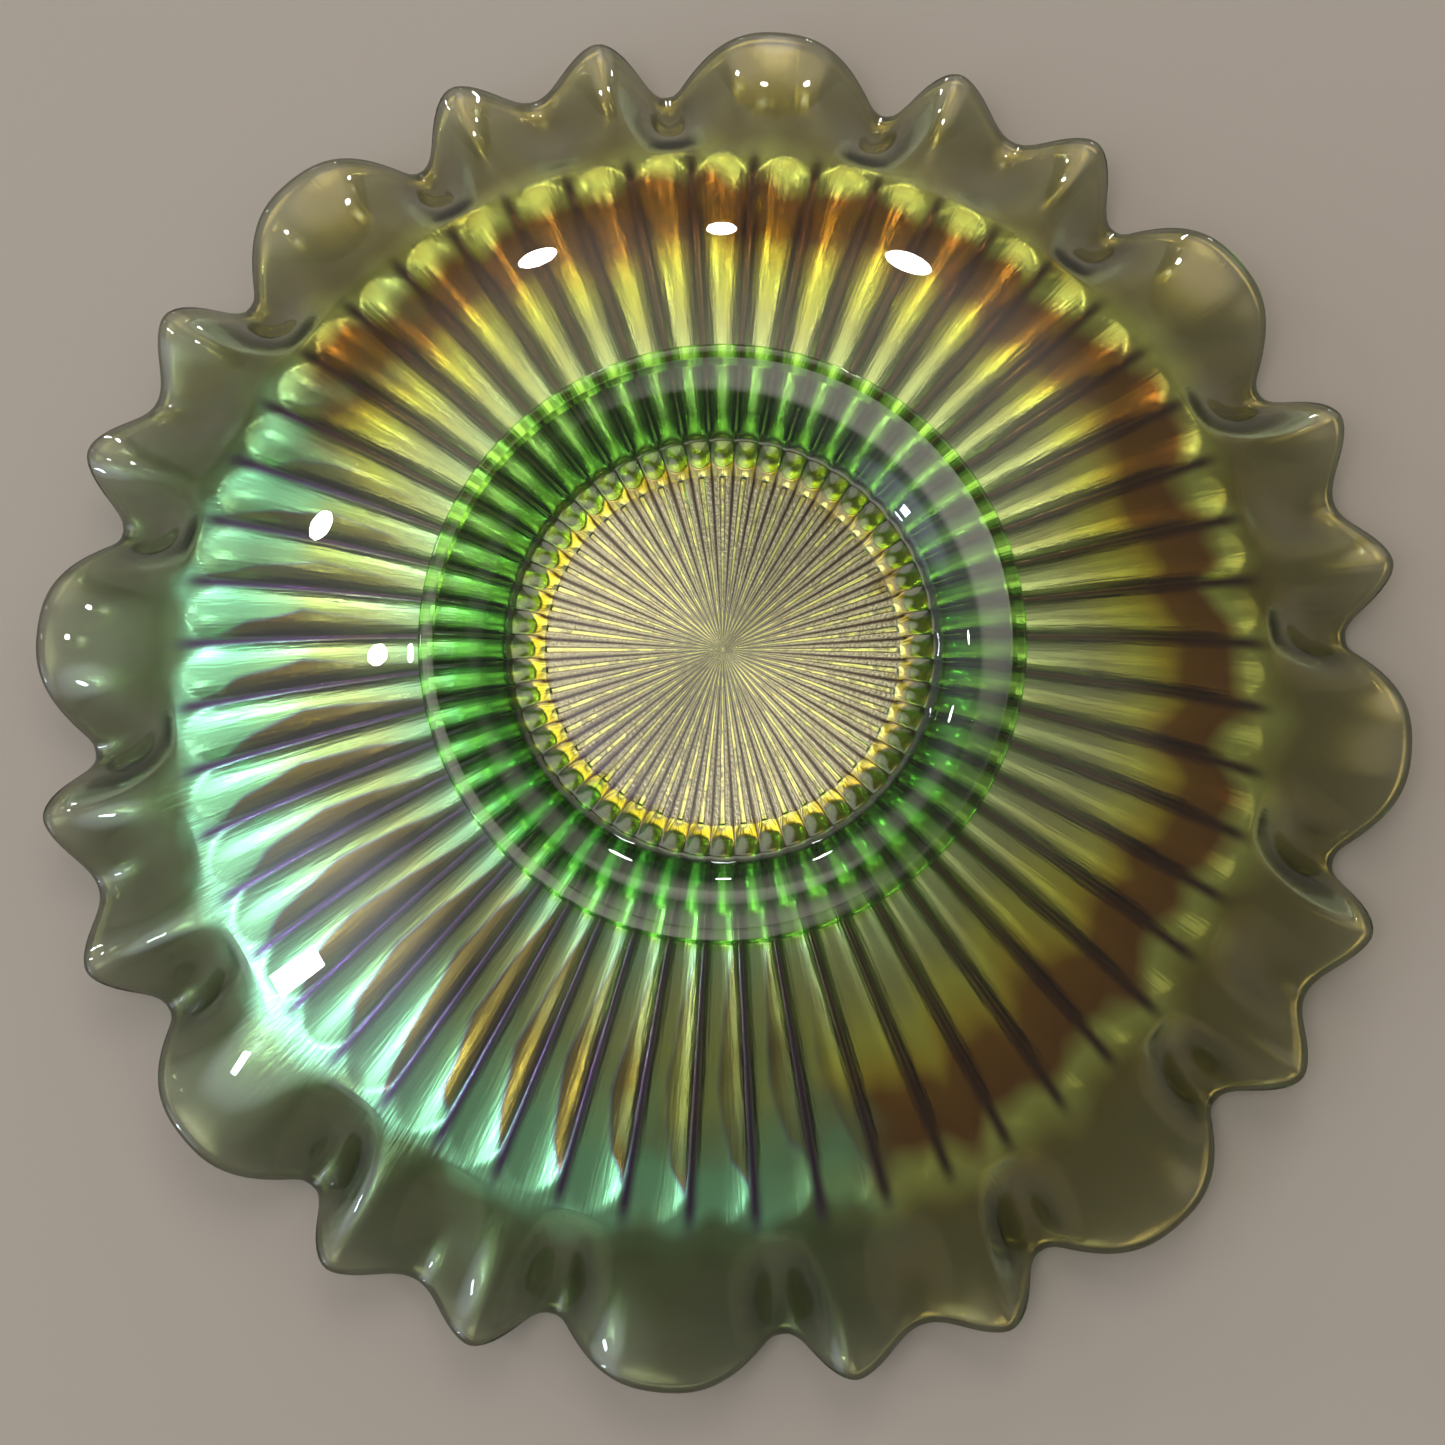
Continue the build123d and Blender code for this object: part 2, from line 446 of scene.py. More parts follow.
        crown = round_top**self.ray_fullness
        tangent = np.gradient(profile, axis=0)
        tangent /= np.linalg.norm(tangent, axis=1, keepdims=True)
        away = np.stack((tangent[:, 1], -tangent[:, 0]), axis=1)
        away *= -np.sign(away[:, 1:])
        push = self.turned(away) * (self.ray_height * crown)[..., None]
        grid = self.turned(profile) + push
        ridge = np.clip(2 - 6 * self.across(), 0, 1) * self.star_height
        fade = self.star_radii / self.star_radius
        fade[0] = 0.0
        grid[-len(fade) :, :, 2] -= fade[:, None] * ridge
        return grid

    def edge_and_inner_rim(self, outside: Array) -> tuple[Array, Array]:
        """The rounded edge, and the rim's inside: its outside moved in along its own normals.

        The normal is the cross product of the grid's two central differences. The edge is half
        a circle from the outside's last ring to the inside's.

        Args:
            outside: the whole outside, whose last rows are the rim's.

        Returns:
            The edge's rings and the inner rim's, both in the order of the skin.
        """
        along = np.gradient(outside, axis=0)
        around = (np.roll(outside, -1, axis=1) - np.roll(outside, 1, axis=1)) / 2
        normal = np.cross(around, along)[-self.rim.rows :]
        normal /= np.linalg.norm(normal, axis=-1, keepdims=True)
        normal *= np.sign(np.median(normal[..., 2]))
        run = (np.arange(1, self.rim.rows + 1) / self.rim.rows)[:, None, None]
        thick = self.wall + (self.rim.edge_wall - self.wall) * run
        inner = outside[-self.rim.rows :] - normal * thick
        way = along[-1] / np.linalg.norm(along[-1], axis=-1, keepdims=True)
        middle = outside[-1] - normal[-1] * self.rim.edge_wall / 2
        turn = np.linspace(0, np.pi, self.rim.bead_rows + 2)[1:-1, None, None]
        edge = middle + self.rim.edge_wall / 2 * (np.cos(turn) * normal[-1] + np.sin(turn) * way)
        return edge, inner[::-1]

    def skin(self) -> tuple[Array, Array]:
        """Joins the outside, the edge and the inside.

        Returns:
            Rings by columns by xyz in millimetres, and each ring's side, which goes from the
            outside's value to the inside's over the edge.
        """
        wall_way = self.way(self.end_angle - np.pi / 2)
        outside = np.concatenate(
            (
                self.plate(),
                self.foot_and_wall(),
                self.rim.outside(self.angles, np.array(self.wall_end), wall_way),
            )
        )
        edge, inner_rim = self.edge_and_inner_rim(outside)
        inside = np.concatenate((inner_rim, self.inside()))
        sides = np.concatenate(
            (
                np.full(len(outside), Side.OUTSIDE.value),
                np.linspace(Side.OUTSIDE.value, Side.INSIDE.value, len(edge)),
                np.full(len(inside), Side.INSIDE.value),
            )
        )
        return np.concatenate((outside, edge, inside)), sides

    def faces(self, rings: int) -> tuple[Array, Array]:
        """Joins each ring to the next, and the first and the last to a point in their middle.

        Args:
            rings: how many rings the skin has. The two middle points come after their points.

        Returns:
            The faces of four corners, in the order of the rings, and those of three.
        """
        corners = np.arange(rings * self.columns).reshape(rings, self.columns)
        after = np.roll(corners, -1, axis=1)
        quads = np.stack((corners[:-1], corners[1:], after[1:], after[:-1]), axis=-1)
        plate_middle = np.full(self.columns, corners.size)
        plate = np.stack((plate_middle, corners[0], after[0]), axis=-1)
        floor = np.stack((plate_middle + 1, after[-1], corners[-1]), axis=-1)
        return quads.reshape(-1, 4), np.concatenate((plate, floor))

    def build(self) -> bpy.types.Object:
        """Makes the bowl's one closed mesh, with its "lustre", "across" and "flank" attributes."""
        skin, sides = self.skin()
        rings = len(skin)
        quads, triangles = self.faces(rings)
        middles = np.array(((0, 0, self.plate_height), (0, 0, self.floor_height)))
        mesh = bpy.data.meshes.new("pressed_bowl")
        mesh.from_pydata(
            (np.concatenate((skin.reshape(-1, 3), middles)) * MM).tolist(),
            [],
            quads.tolist() + triangles.tolist(),
        )
        # The star's ridges have sharp edges.
        smooth = np.ones(len(mesh.polygons), dtype=bool)
        star_faces = (len(self.star_radii) - 1) * self.columns
        smooth[len(quads) - star_faces : len(quads)] = False
        mesh.polygons.foreach_set("use_smooth", smooth)
        for name, values, at_middles in (
            ("lustre", np.repeat(sides, self.columns), (Side.OUTSIDE.value, Side.INSIDE.value)),
            ("across", np.tile(self.across(), rings), (0.0, 0.0)),
            ("flank", np.tile(self.flank(), rings), (0.0, 0.0)),
        ):
            attribute = mesh.attributes.new(name, "FLOAT", "POINT")
            attribute.data.foreach_set("value", np.concatenate((values, at_middles)))
        mesh.validate()
        mesh.update()
        bowl = bpy.data.objects.new("pressed_bowl", mesh)
        bpy.context.scene.collection.objects.link(bowl)
        return bowl


@dataclass(frozen=True)
class GlassPlaces:
    """The sockets that the glass's patterns start from.

    Where is in metres, and flat and radius are in millimetres.
    """

    where: bpy.types.NodeSocket
    flat: bpy.types.NodeSocket
    radius: bpy.types.NodeSocket
    outwards: bpy.types.NodeSocket
    lustre: bpy.types.NodeSocket
    across: bpy.types.NodeSocket
    flank: bpy.types.NodeSocket


@dataclass(frozen=True)
class LustredGreenGlass:
    """Pressed soda glass, green with iron and chrome, and iridised on its inside.

    The glass itself is clear at the surface and takes red and blue out of light on its way
    through, so thick and edge-on places go a deep green. Hot metal salts were sprayed on the
    inside, which leaves a thin metal film: it mirrors softly in amber, olive, mint and violet,
    and the bare glass shows where it is thin.

    Each band is a radius in millimetres and a colour. A cover's grey is the film's share there.
    """

    # Share lost per metre is density times (1 - colour): about 38 red, 6 green, 46 blue.
    absorption_colour: Color = (0.24, 0.88, 0.08, 1.0)
    absorption_density: float = 50.0
    ior: float = 1.52
    film_roughness: float = 0.17
    satin_roughness: float = 0.16
    low_radius: float = 24.0
    high_radius: float = 116.0
    star_radius: float = 27.3
    # The rays fade out between these radii, and a groove starts that far across a ray.
    ray_end_radii: tuple[float, float] = (84.0, 90.0)
    groove_start: float = 0.66
    # Clouds of 25 mm and the rays themselves move the rings of colour by up to 3 mm each.
    cloud_scale: float = 40.0
    ray_scale: float = 9.0
    noise_range: tuple[float, float] = (0.3, 0.7)
    most_wander: float = 3.0
    # Specks of 2.4 mm dull the star, whose ridges end between these shares of the way across.
    ridge_side: tuple[float, float] = (0.16, 0.24)
    speck_scale: float = 420.0
    speck_range: tuple[float, float] = (0.46, 0.60)
    speck_dullness: float = 0.8
    # Scratches about 0.6 mm wide and 7 mm long, and grains of 0.5 mm.
    scratch_scale: float = 130.0
    scratch_stretch: float = 0.15
    scratch_strength: float = 0.22
    scratch_depth: float = 0.25
    grain_scale: float = 2000.0
    grain_strength: float = 0.2
    grain_depth: float = 0.3
    # The film is painted mint on the side of the bowl towards the window, to the left and towards
    # the near edge: a painted reflection of the window.
    window_reflection_way: tuple[float, float, float] = (-0.0088, -0.0062, 0.0)
    window_reflection_range: tuple[float, float] = (0.62, 1.12)
    # By radius, how far over its ray the mint of the painted window reflection reaches, as a share
    # of the way between its edges.
    mint_edge: tuple[float, float] = (-0.2, 1.4)
    mint_reach: tuple[tuple[float, float], ...] = (
        (46, 0.45),
        (56, 0.14),
        (66, 0.0),
        (76, 0.30),
        (86, 1.0),
    )
    # The other flank's colours, by how far across they lie beyond the mint: painted shade in brown,
    # with a violet fringe at the edge of the painted reflection.
    fringe_softness: float = 0.12
    shaded_flank_colours: tuple[tuple[float, str], ...] = (
        (0.0, "8068b0"),
        (0.13, "86602c"),
        (0.8, "7c5818"),
    )
    amber_groove: str = "4a1c04"
    mint_groove: str = "50246c"
    # Greys the star's floor, so that its ridges stand out as painted glint lines.
    star_floor: str = "bcb5f0"
    film_side_tint: str = "e8c458"
    # The gold ring at 62 to 67 mm and the lighter ring at the rays' ends are partly painted
    # reflection of the ceiling lamps, and the brown ring at 71 to 79 mm is partly painted shade.
    amber_bands: tuple[tuple[float, str], ...] = (
        (27, "ffe2a8"),
        (32, "dcb440"),
        (36, "c8cc88"),
        (45, "e8e0b0"),
        (55, "e4cc90"),
        (62, "ffe068"),
        (67, "f0bc40"),
        (71, "a8640c"),
        (79, "985206"),
        (84, "e0cc74"),
        (87, "d0bc64"),
        (92, "98781e"),
        (112, "846814"),
    )
    # On the window's side: the painted window reflection, pale mint over the rays and dimmed over
    # the rim.
    mint_bands: tuple[tuple[float, str], ...] = (
        (27, "ffe2a8"),
        (32, "c8b850"),
        (36, "a0f0d0"),
        (46, "c8ecd4"),
        (55, "ecdca0"),
        (63, "d0cc8c"),
        (71, "c4e4b8"),
        (77, "b4e8cc"),
        (85, "b4ecd0"),
        (89, "80946c"),
        (94, "64703c"),
        (112, "44461a"),
    )
    cover_bands: tuple[tuple[float, str], ...] = (
        (27, "f6f6f6"),
        (31.5, "f0f0f0"),
        (33.5, "a8a8a8"),
        (38, "e8e8e8"),
        (47, "e8e8e8"),
        (58, "e0e0e0"),
        (70, "f4f4f4"),
        (86, "ececec"),
        (94, "c0c0c0"),
        (112, "b4b4b4"),
    )
    # The beads round the plate look gold, and the foot is the thickest glass and the greenest. The
    # dark green at 33 to 35.5 mm is painted shade in the recess, over the glass's green.
    bare_tint_and_recess_shade_bands: tuple[tuple[float, str], ...] = (
        (27, "ffffff"),
        (28, "e8d470"),
        (32, "e8d470"),
        (33, "446c34"),
        (35.5, "548044"),
        (38.5, "a0cc98"),
        (42, "c8e8b4"),
        (43.5, "d4f090"),
        (45.6, "d4f090"),
        (46.4, "ffffff"),
    )

    def along(self, radius: float) -> float:
        """Where that radius in millimetres lies on the ramps."""
        return (radius - self.low_radius) / (self.high_radius - self.low_radius)

    def on_ramp(
        self, tree: bpy.types.NodeTree, radius: bpy.types.NodeSocket
    ) -> bpy.types.NodeSocket:
        """The same as a socket, from a socket."""
        return add_node(
            tree,
            "ShaderNodeMapRange",
            {},
            {"Value": radius, "From Min": self.low_radius, "From Max": self.high_radius},
        ).outputs["Result"]

    def ramp(
        self,
        tree: bpy.types.NodeTree,
        place: bpy.types.NodeSocket,
        bands: tuple[tuple[float, str], ...],
    ) -> bpy.types.NodeSocket:
        """A ring pattern from radii and hex colours."""
        node = add_node(tree, "ShaderNodeValToRGB", {}, {"Fac": place})
        set_stops(node, [(self.along(radius), linear(colour)) for radius, colour in bands])
        return node.outputs["Color"]

    @staticmethod
    def find_places(tree: bpy.types.NodeTree) -> GlassPlaces:
        """Makes the nodes that every pattern starts from."""
        where = add_node(tree, "ShaderNodeTexCoord").outputs["Object"]
        flat = add_node(
            tree,
            "ShaderNodeVectorMath",
            {"operation": "MULTIPLY"},
            {0: where, 1: (1.0 / MM, 1.0 / MM, 0.0)},
        ).outputs["Vector"]
        lustre, across, flank = (
            add_node(tree, "ShaderNodeAttribute", {"attribute_name": name}).outputs["Fac"]
            for name in ("lustre", "across", "flank")
        )
        return GlassPlaces(
            where=where,
            flat=flat,
            radius=add_node(
                tree, "ShaderNodeVectorMath", {"operation": "LENGTH"}, {0: flat}
            ).outputs["Value"],
            outwards=add_node(
                tree, "ShaderNodeVectorMath", {"operation": "NORMALIZE"}, {0: flat}
            ).outputs["Vector"],
            lustre=lustre,
            across=across,
            flank=flank,
        )

    def sprayed_radius(
        self, tree: bpy.types.NodeTree, places: GlassPlaces, clouds: bpy.types.NodeSocket
    ) -> bpy.types.NodeSocket:
        """The radius, moved in or out by the spray's clouds and differently on each ray.

        Args:
            tree: the material's node tree.
            places: the sockets that patterns start from.
            clouds: the spray's clouds.

        Returns:
            The radius in millimetres at which a point takes its colour.
        """
        by_ray = add_node(
            tree,
            "ShaderNodeTexNoise",
            {},
            {"Vector": places.outwards, "Scale": self.ray_scale, "Detail": 1.0},
        ).outputs["Fac"]
        moved = places.radius
        for noise in (by_ray, clouds):
            shift = add_node(
                tree,
                "ShaderNodeMapRange",
                {},
                {
                    "Value": noise,
                    "From Min": self.noise_range[0],
                    "From Max": self.noise_range[1],
                    "To Min": -self.most_wander,
                    "To Max": self.most_wander,
                },
            ).outputs["Result"]
            moved = add_node(
                tree, "ShaderNodeMath", {"operation": "ADD"}, {0: moved, 1: shift}
            ).outputs["Value"]
        return moved

    def window_reflection_share(
        self, tree: bpy.types.NodeTree, places: GlassPlaces, clouds: bpy.types.NodeSocket
    ) -> bpy.types.NodeSocket:
        """How much of the film is mint there, as painted window reflection: the way to the window's
        side, plus the clouds.
        """
        side = add_node(
            tree,
            "ShaderNodeVectorMath",
            {"operation": "DOT_PRODUCT"},
            {0: places.flat, 1: self.window_reflection_way},
        ).outputs["Value"]
        sided = add_node(
            tree, "ShaderNodeMath", {"operation": "ADD"}, {0: side, 1: clouds}
        ).outputs["Value"]
        return add_node(
            tree,
            "ShaderNodeMapRange",
            {"interpolation_type": "SMOOTHSTEP"},
            {"Value": sided, "From Min": self.window_reflection_range[0], "From Max": self.window_reflection_range[1]},
        ).outputs["Result"]

    def flanked(
        self,
        tree: bpy.types.NodeTree,
        places: GlassPlaces,
        sprayed: bpy.types.NodeSocket,
        mint: bpy.types.NodeSocket,
        film: bpy.types.NodeSocket,
    ) -> bpy.types.NodeSocket:
        """Paints shade in brown on one flank of each mint ray, with a violet fringe where the two
        meet.

        The mint, a painted reflection of the window, lies on the other flank, and further over the
        ray towards the ray's end.

        Args:
            tree: the material's node tree.
            places: the sockets that patterns start from.
            sprayed: the sprayed radius, as a place on the ramps.
            mint: the share of mint.
            film: the film's colour so far.

        Returns:
            The film's colour.
        """
        reach = add_node(tree, "ShaderNodeValToRGB", {}, {"Fac": sprayed})
        set_stops(
            reach, [(self.along(r), (part, part, part, 1.0)) for r, part in self.mint_reach]
        )
        edge = add_node(
            tree,
            "ShaderNodeMapRange",
            {},
            {
                "Value": reach.outputs["Color"],
                "To Min": self.mint_edge[0],
                "To Max": self.mint_edge[1],
            },
        ).outputs["Result"]
        beyond = add_node(
            tree, "ShaderNodeMath", {"operation": "SUBTRACT"}, {0: places.flank, 1: edge}
        ).outputs["Value"]
        fringe = add_node(tree, "ShaderNodeValToRGB", {}, {"Fac": beyond})
        set_stops(fringe, [(part, linear(colour)) for part, colour in self.shaded_flank_colours])
        brown = add_node(
            tree,
            "ShaderNodeMapRange",
            {"interpolation_type": "SMOOTHSTEP"},
            {
                "Value": beyond,
                "From Min": -self.fringe_softness,
                "From Max": self.fringe_softness,
            },
        ).outputs["Result"]
        share = add_node(
            tree, "ShaderNodeMath", {"operation": "MULTIPLY"}, {0: brown, 1: mint}
        ).outputs["Value"]
        return add_node(
            tree,
            "ShaderNodeMix",
            {"data_type": "RGBA"},
            {"Factor": share, 6: film, 7: fringe.outputs["Color"]},
        ).outputs[2]

    def grooved(
        self,
        tree: bpy.types.NodeTree,
        places: GlassPlaces,
        mint: bpy.types.NodeSocket,
        film: bpy.types.NodeSocket,
    ) -> bpy.types.NodeSocket:
        """Darkens the film in the grooves between rays, to brown, or to violet where the film is
        mint.

        Args:
            tree: the material's node tree.
            places: the sockets that patterns start from.
            mint: the share of mint.
            film: the film's colour so far.

        Returns:
            The film's colour.
        """
        first, last = self.ray_end_radii
        in_rays = add_node(
            tree,
            "ShaderNodeMapRange",
            {"interpolation_type": "SMOOTHSTEP"},
            {"Value": places.radius, "From Min": last, "From Max": first},
        ).outputs["Result"]
        groove = add_node(
            tree,
            "ShaderNodeMapRange",
            {"interpolation_type": "SMOOTHSTEP"},
            {"Value": places.across, "From Min": self.groove_start, "From Max": 1.0},
        ).outputs["Result"]
        share = add_node(
            tree, "ShaderNodeMath", {"operation": "MULTIPLY"}, {0: groove, 1: in_rays}
        ).outputs["Value"]
        dark = add_node(
            tree,
            "ShaderNodeMix",
            {"data_type": "RGBA"},
            {"Factor": mint, 6: linear(self.amber_groove), 7: linear(self.mint_groove)},
        ).outputs[2]
        return add_node(
            tree, "ShaderNodeMix", {"data_type": "RGBA"}, {"Factor": share, 6: film, 7: dark}
        ).outputs[2]

    def star_floor_share(
        self, tree: bpy.types.NodeTree, places: GlassPlaces
    ) -> bpy.types.NodeSocket:
        """Where the star is grey: the floor between its ridges, and dull specks on them. The ridges
        left bright are painted glint lines.
        """
        in_star = add_node(
            tree,
            "ShaderNodeMath",
            {"operation": "LESS_THAN"},
            {0: places.radius, 1: self.star_radius},
        ).outputs["Value"]
        between = add_node(
            tree,
            "ShaderNodeMapRange",
            {},
            {
                "Value": places.across,
                "From Min": self.ridge_side[0],
                "From Max": self.ridge_side[1],
            },
        ).outputs["Result"]
        specks = add_node(
            tree,
            "ShaderNodeTexNoise",
            {},
            {"Vector": places.where, "Scale": self.speck_scale, "Detail": 2.0},
        ).outputs["Fac"]
        dull = add_node(
            tree,
            "ShaderNodeMapRange",
            {},
            {
                "Value": specks,
                "From Min": self.speck_range[0],
                "From Max": self.speck_range[1],
                "To Max": self.speck_dullness,
            },
        ).outputs["Result"]
        grey = add_node(
            tree, "ShaderNodeMath", {"operation": "MAXIMUM"}, {0: between, 1: dull}
        ).outputs["Value"]
        return add_node(
            tree, "ShaderNodeMath", {"operation": "MULTIPLY"}, {0: grey, 1: in_star}
        ).outputs["Value"]

    def film_relief(
        self, tree: bpy.types.NodeTree, places: GlassPlaces, star_floor: bpy.types.NodeSocket
    ) -> bpy.types.NodeSocket:
        """The film's fine relief: the plunger's scratches along the rays, and the star's grain.

        Args:
            tree: the material's node tree.
            places: the sockets that patterns start from.
            star_floor: the share of the star's floor.

        Returns:
            The bent normal.
        """
        around = add_node(
            tree,
            "ShaderNodeVectorMath",
            {"operation": "SCALE"},
            {0: places.outwards, "Scale": self.scratch_scale},
        ).outputs["Vector"]
        along = add_node(
            tree,
            "ShaderNodeMath",
            {"operation": "MULTIPLY"},
            {0: places.radius, 1: self.scratch_stretch},
        ).outputs["Value"]
        lift = add_node(tree, "ShaderNodeCombineXYZ", {}, {"Z": along}).outputs["Vector"]
        streaked = add_node(
            tree, "ShaderNodeVectorMath", {"operation": "ADD"}, {0: around, 1: lift}
        ).outputs["Vector"]
        scratches = add_node(
            tree, "ShaderNodeTexNoise", {}, {"Vector": streaked, "Scale": 1.0, "Detail": 2.0}
        ).outputs["Fac"]
        scratched = add_node(
            tree,
            "ShaderNodeBump",
            {},
            {
                "Strength": self.scratch_strength,
                "Distance": self.scratch_depth * MM,
                "Height": scratches,
            },
        ).outputs["Normal"]
        grain = add_node(
            tree,
            "ShaderNodeTexNoise",
            {},
            {"Vector": places.where, "Scale": self.grain_scale, "Detail": 1.0},
        ).outputs["Fac"]
        height = add_node(
            tree, "ShaderNodeMath", {"operation": "MULTIPLY"}, {0: grain, 1: star_floor}
        ).outputs["Value"]
        return add_node(
            tree,
            "ShaderNodeBump",
            {},
            {
                "Strength": self.grain_strength,
                "Distance": self.grain_depth * MM,
                "Height": height,
                "Normal": scratched,
            },
        ).outputs["Normal"]

    def film_colour(
        self, tree: bpy.types.NodeTree, places: GlassPlaces, star_floor: bpy.types.NodeSocket
    ) -> bpy.types.NodeSocket:
        """The film's colour: rings of amber and of mint with painted window reflection, painted
        shade on the flanks, grooves and the star's painted glint lines.

        Args:
            tree: the material's node tree.
            places: the sockets that patterns start from.
            star_floor: the share of the star's floor.

        Returns:
            The colour.
        """
        clouds = add_node(
            tree,
            "ShaderNodeTexNoise",
            {},
            {"Vector": places.where, "Scale": self.cloud_scale, "Detail": 2.0, "Roughness": 0.5},
        ).outputs["Fac"]
        sprayed = self.on_ramp(tree, self.sprayed_radius(tree, places, clouds))
        # Mint is the painted reflection of the window.
        mint = self.window_reflection_share(tree, places, clouds)
        film = add_node(
            tree,
            "ShaderNodeMix",
            {"data_type": "RGBA"},
            {
                "Factor": mint,
                6: self.ramp(tree, sprayed, self.amber_bands),
                7: self.ramp(tree, sprayed, self.mint_bands),
            },
        ).outputs[2]
        film = self.flanked(tree, places, sprayed, mint, film)
        film = self.grooved(tree, places, mint, film)
        # The star's ridges are left bright as painted glint lines.
        return add_node(
            tree,
            "ShaderNodeMix",
            {"data_type": "RGBA", "blend_type": "MULTIPLY"},
            {"Factor": star_floor, 6: film, 7: linear(self.star_floor)},
        ).outputs[2]

    def dress(self, bowl: bpy.types.Object) -> None:
        """Makes the material and gives it to the bowl."""
        material = bpy.data.materials.new("iridised_green_glass")
        material.use_nodes = True
        tree = material.node_tree
        tree.nodes.clear()
        places = self.find_places(tree)
        star_floor = self.star_floor_share(tree, places)
        metal = add_node(
            tree,
            "ShaderNodeBsdfPrincipled",
            {},
            {
                "Base Color": self.film_colour(tree, places, star_floor),
                "Metallic": 1.0,
                "Roughness": self.film_roughness,
                "Normal": self.film_relief(tree, places, star_floor),
            },
        )
        steady = self.on_ramp(tree, places.radius)
        cover = add_node(
            tree,
            "ShaderNodeMath",
            {"operation": "MULTIPLY"},
            {0: self.ramp(tree, steady, self.cover_bands), 1: places.lustre},
        ).outputs["Value"]
        tint = add_node(
            tree,
            "ShaderNodeMix",
            {"data_type": "RGBA"},
            {
                "Factor": cover,
                6: self.ramp(tree, steady, self.bare_tint_and_recess_shade_bands),
                7: linear(self.film_side_tint),
            },
        ).outputs[2]
        satin = add_node(
            tree, "ShaderNodeMapRange", {}, {"Value": cover, "To Max": self.satin_roughness}
        ).outputs["Result"]
        glass = add_node(
            tree,
            "ShaderNodeBsdfPrincipled",
            {},
            {
                "Base Color": tint,
                "Roughness": satin,
                "Transmission Weight": 1.0,
                "IOR": self.ior,
            },
        )
        surface = add_node(
            tree,
            "ShaderNodeMixShader",
            {},
            {0: cover, 1: glass.outputs["BSDF"], 2: metal.outputs["BSDF"]},
        )
        volume = add_node(
            tree,
            "ShaderNodeVolumeAbsorption",
            {},
            {"Color": self.absorption_colour, "Density": self.absorption_density},
        )
        add_node(
            tree,
            "ShaderNodeOutputMaterial",
            {},
            {"Surface": surface.outputs["Shader"], "Volume": volume.outputs["Volume"]},
        )
        bowl.data.materials.append(material)


class LampShape(Enum):
    """A lamp's outline."""

    ROUND = "ELLIPSE"
    SQUARE = "RECTANGLE"


@dataclass(frozen=True)
class SoftLamp:
    """A round lamp or a window, placed by the way its light comes from."""

    name: str
    azimuth: float
    elevation: float
    distance: float
    width: float
    height: float
    power: float
    colour: str = "ffffff"
    shape: LampShape = LampShape.ROUND
    aim_height: float = 0.035

    def place(self) -> None:
        """Makes the lamp and aims it at the bowl."""
        lamp = bpy.data.lights.new(self.name, "AREA")
        lamp.shape = self.shape.value
        lamp.size = self.width
        lamp.size_y = self.height
        lamp.energy = self.power
        lamp.color = linear(self.colour)[:3]
        spot = bpy.data.objects.new(self.name, lamp)
        azimuth, elevation = np.radians(self.azimuth), np.radians(self.elevation)
        spot.location = (
            self.distance * np.cos(elevation) * np.cos(azimuth),
            self.distance * np.cos(elevation) * np.sin(azimuth),
            self.distance * np.sin(elevation) + self.aim_height,
        )
        spot.rotation_euler = (np.pi / 2 - elevation, 0.0, azimuth + np.pi / 2)
        bpy.context.scene.collection.objects.link(spot)


@dataclass(frozen=True)
class SkyGlow:
    """A soft patch of brighter sky: a direction, and the angles where it ends and is full."""

    name: str
    way: tuple[float, float, float]
    outer_angle: float
    inner_angle: float
    colour: str
    times: float

    def on_top_of(
        self, tree: bpy.types.NodeTree, way: bpy.types.NodeSocket, light: bpy.types.NodeSocket
    ) -> bpy.types.NodeSocket:
        """Adds the glow to the light so far.

        Args:
            tree: the world's node tree.
            way: the direction looked in.
            light: the light so far.

        Returns:
            The light with the glow added.
        """
        unit = np.array(self.way) / np.linalg.norm(self.way)
        facing = add_node(
            tree,
            "ShaderNodeVectorMath",
            {"operation": "DOT_PRODUCT", "label": self.name},
            {0: way, 1: tuple(float(part) for part in unit)},
        ).outputs["Value"]
        share = add_node(
            tree,
            "ShaderNodeMapRange",
            {"interpolation_type": "SMOOTHSTEP"},
            {
                "Value": facing,
                "From Min": float(np.cos(np.radians(self.outer_angle))),
                "From Max": float(np.cos(np.radians(self.inner_angle))),
                "To Max": self.times,
            },
        ).outputs["Result"]
        added = add_node(
            tree,
            "ShaderNodeVectorMath",
            {"operation": "SCALE"},
            {0: linear(self.colour)[:3], "Scale": share},
        ).outputs["Vector"]
        return add_node(
            tree, "ShaderNodeVectorMath", {"operation": "ADD"}, {0: light, 1: added}
        ).outputs["Vector"]


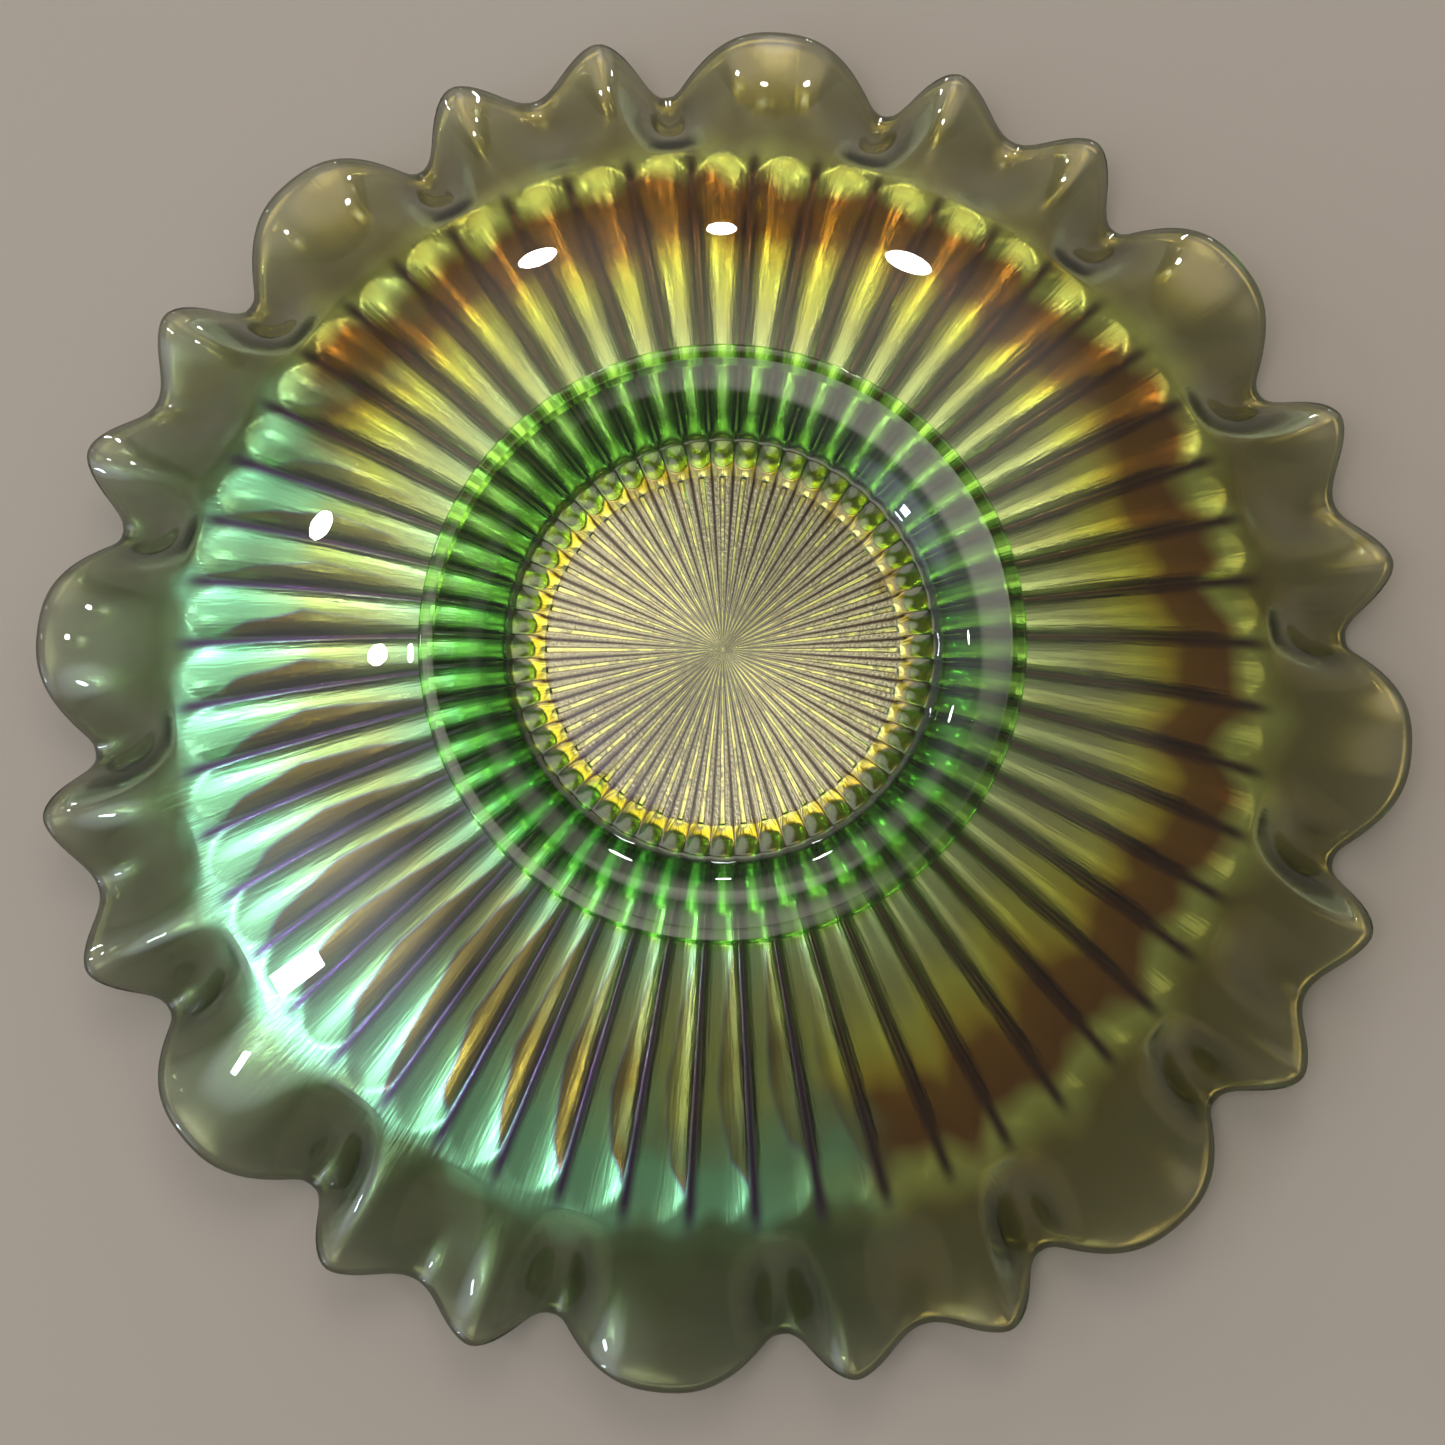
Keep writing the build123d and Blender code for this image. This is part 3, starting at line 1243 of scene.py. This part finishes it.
@dataclass
class Studio:
    """The pale table, the soft light all round, the lamps and the camera."""

    table_colour: str = "8f8881"
    table_roughness: float = 0.6
    table_width: float = 4.0
    sky_colour: str = "f2efe9"
    sky_strength: float = 0.27
    glows: tuple[SkyGlow, ...] = (
        SkyGlow("window", (-0.85, -0.45, 0.34), 24.0, 9.0, "e0eeff", 7.0),
        SkyGlow("far_left", (-0.28, 0.77, 0.57), 30.0, 12.0, "fff4e2", 4.4),
        SkyGlow("far_right", (0.39, 0.72, 0.57), 30.0, 12.0, "fff4e2", 4.4),
        SkyGlow("skylight", (0.0, 0.64, 0.77), 18.0, 10.0, "fff6ea", 8.0),
        SkyGlow("side", (-1.0, 0.1, 0.8), 45.0, 10.0, "f4f8ff", 3.0),
        SkyGlow("near_side", (-0.70, -0.60, 0.70), 36.0, 10.0, "f4f8ff", 1.2),
        SkyGlow("other_side", (0.73, 0.0, 0.68), 22.0, 8.0, "fff6ea", 1.6),
        SkyGlow("overhead", (-0.25, -0.10, 1.0), 25.0, 8.0, "fff6ea", 12.0),
    )
    lens: float = 72.0
    camera_distance: float = 0.480
    look_height: float = 0.010
    camera_lean: float = 9.0
    look_lean: float = 8.34
    lamps: tuple[SoftLamp, ...] = (
        SoftLamp("ceiling_left", 110.5, 12.4, 2.0, 0.15, 0.10, 2.6),
        SoftLamp("ceiling_middle", 90.1, 13.3, 2.0, 0.11, 0.08, 1.5),
        SoftLamp("ceiling_right", 69.2, 13.1, 2.0, 0.18, 0.12, 3.6),
        SoftLamp("ceiling_side", 151.8, 22.4, 2.0, 0.13, 0.11, 2.4),
        SoftLamp("ceiling_near", 168.3, 37.3, 2.0, 0.10, 0.10, 1.6),
        SoftLamp("window", -152.0, 16.5, 2.0, 0.10, 0.30, 4.0, "dff0ff", LampShape.SQUARE),
    )

    def set_table(self) -> None:
        """A square sheet, as one face of four corners."""
        half = self.table_width / 2
        mesh = bpy.data.meshes.new("table")
        mesh.from_pydata(
            [(-half, -half, 0), (half, -half, 0), (half, half, 0), (-half, half, 0)],
            [],
            [(0, 1, 2, 3)],
        )
        table = bpy.data.objects.new("table", mesh)
        bpy.context.scene.collection.objects.link(table)
        material = bpy.data.materials.new("honed_stone")
        material.use_nodes = True
        stone = material.node_tree.nodes["Principled BSDF"]
        stone.inputs["Base Color"].default_value = linear(self.table_colour)
        stone.inputs["Roughness"].default_value = self.table_roughness
        mesh.materials.append(material)

    def set_light(self) -> None:
        """An even sky with its brighter patches, and the lamps."""
        world = bpy.data.worlds.new("studio")
        bpy.context.scene.world = world
        world.use_nodes = True
        tree = world.node_tree
        sky = tree.nodes["Background"]
        way = add_node(tree, "ShaderNodeTexCoord").outputs["Generated"]
        light = add_node(tree, "ShaderNodeRGB").outputs["Color"]
        light.default_value = linear(self.sky_colour)
        for glow in self.glows:
            light = glow.on_top_of(tree, way, light)
        tree.links.new(light, sky.inputs["Color"])
        sky.inputs["Strength"].default_value = self.sky_strength
        for lamp in self.lamps:
            lamp.place()

    def set_camera(self) -> None:
        """A camera nearly straight above, leaning towards the near edge."""
        camera = bpy.data.cameras.new("camera")
        camera.lens = self.lens
        camera.sensor_width = 36.0
        camera.clip_start = 0.01
        stand = bpy.data.objects.new("camera", camera)
        lean = np.radians(self.camera_lean)
        stand.location = (
            0.0,
            -self.camera_distance * np.sin(lean),
            self.look_height + self.camera_distance * np.cos(lean),
        )
        stand.rotation_euler = (np.radians(self.look_lean), 0.0, 0.0)
        bpy.context.scene.collection.objects.link(stand)
        bpy.context.scene.camera = stand

    def set_up(self) -> None:
        """Sets up everything round the bowl."""
        bpy.context.scene.view_settings.view_transform = "Standard"
        self.set_table()
        self.set_light()
        self.set_camera()


def main() -> None:
    """Builds the bowl in its frame, dresses it, and sets the stage."""
    for thing in list(bpy.data.objects):
        bpy.data.objects.remove(thing)
    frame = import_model()
    bowl = PressedBowl().build()
    LustredGreenGlass().dress(bowl)
    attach(bowl, "root")
    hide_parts(*sorted(frame["nodes"]))
    LOG.info("%s: %d faces", bowl.name, len(bowl.data.polygons))
    Studio().set_up()
    bpy.context.view_layer.update()


if __name__ == "__main__":
    logging.basicConfig(level=logging.INFO)
    main()
